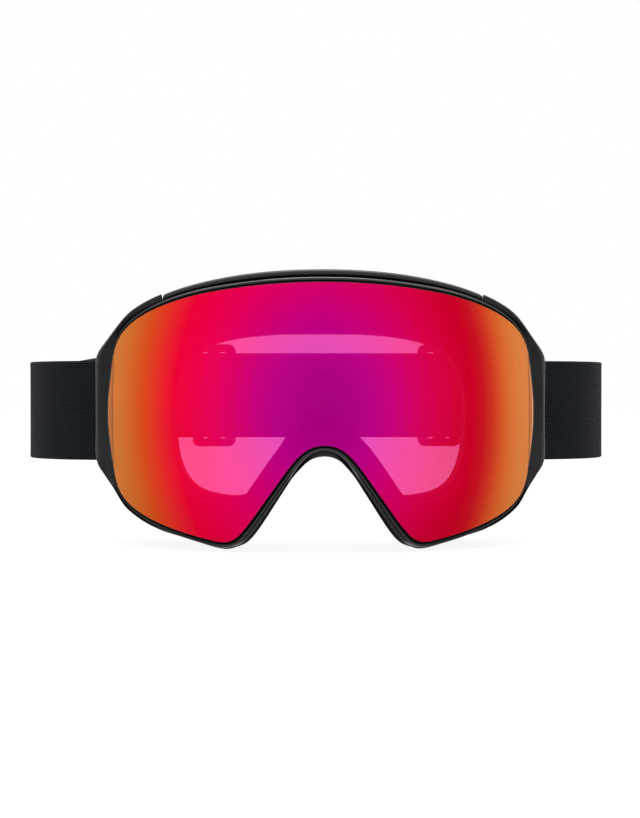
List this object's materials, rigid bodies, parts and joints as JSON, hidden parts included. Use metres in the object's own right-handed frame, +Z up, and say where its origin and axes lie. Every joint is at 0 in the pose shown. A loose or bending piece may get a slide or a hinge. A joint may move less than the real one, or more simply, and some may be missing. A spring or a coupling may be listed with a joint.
{
  "type": "ski goggles",
  "caption": "Snow goggles with a magnetic cylindrical double lens, vented frame, layered face foam and an elastic strap on swivelling outriggers.",
  "frame": {"origin": "centre of the whole goggle's bounding box, which lies in the space the wearer's head fills, inside the strap loop", "axes": "+Z up, +X to the wearer's left, -Y forwards out of the lens, +Y back towards the wearer's head"},
  "size_m": [0.2502, 0.2036, 0.1058],
  "materials": {
    "lens_mirror": "gloss",
    "lens_clear": "gloss",
    "gasket_foam": "matte",
    "frame_plastic": "matte",
    "carrier_plastic": "satin",
    "trim_plastic": "satin",
    "magnet_steel": "satin",
    "vent_mesh": "matte",
    "foam_dense": "matte",
    "foam_soft": "matte",
    "fleece": "matte",
    "webbing": "matte",
    "silicone": "satin",
    "hardware_plastic": "satin",
    "pin_steel": "satin"
  },
  "bodies": {
    "frame": {"frame_shell": "frame_plastic", "brow_trim": "trim_plastic", "frame_magnets": "magnet_steel", "mask_magnets": "magnet_steel", "vent_foam_top": "vent_mesh", "vent_foam_left": "vent_mesh", "vent_foam_right": "vent_mesh", "face_plate": "frame_plastic", "face_foam_dense": "foam_dense", "face_foam_soft": "foam_soft", "face_fleece": "fleece", "hinge_pin_left": "pin_steel", "hinge_pin_right": "pin_steel"},
    "lens_assembly": {"lens_outer": "lens_mirror", "lens_inner": "lens_clear", "lens_spacer_foam": "gasket_foam", "lens_carrier": "carrier_plastic", "lens_magnets": "magnet_steel"},
    "outrigger_left": {"outrigger_left": "hardware_plastic", "strap_bar_left": "pin_steel", "strap_eye_left": "webbing"},
    "outrigger_right": {"outrigger_right": "hardware_plastic", "strap_bar_right": "pin_steel", "strap_eye_right": "webbing"},
    "strap": {"strap_webbing": "webbing", "strap_return_left": "webbing", "strap_return_right": "webbing", "silicone_grip": "silicone"},
    "slider_left": {"slider_left": "hardware_plastic"},
    "slider_right": {"slider_right": "hardware_plastic"}
  },
  "joints": [
    {"name": "lens_release", "type": "slide", "parent": "frame", "child": "lens_assembly", "axis": [0, -1, 0], "range_m": [0, 0.06], "stiffness_N_per_m": 60},
    {"name": "outrigger_left_swivel", "type": "hinge", "parent": "frame", "child": "outrigger_left", "pos_m": [0.083, -0.04027, -0.00056], "axis": [0, 0, 1], "range_deg": [-28, 8]},
    {"name": "outrigger_right_swivel", "type": "hinge", "parent": "frame", "child": "outrigger_right", "pos_m": [-0.083, -0.04027, -0.00056], "axis": [0, 0, 1], "range_deg": [-8, 28]},
    {"name": "strap_stretch", "type": "slide", "parent": "frame", "child": "strap", "axis": [0, 1, 0], "range_m": [0, 0.04], "stiffness_N_per_m": 150},
    {"name": "slider_left_adjust", "type": "slide", "parent": "strap", "child": "slider_left", "axis": [-1, 0, 0], "range_m": [-0.005, 0.03]},
    {"name": "slider_right_adjust", "type": "slide", "parent": "strap", "child": "slider_right", "axis": [1, 0, 0], "range_m": [-0.005, 0.03]}
  ]
}
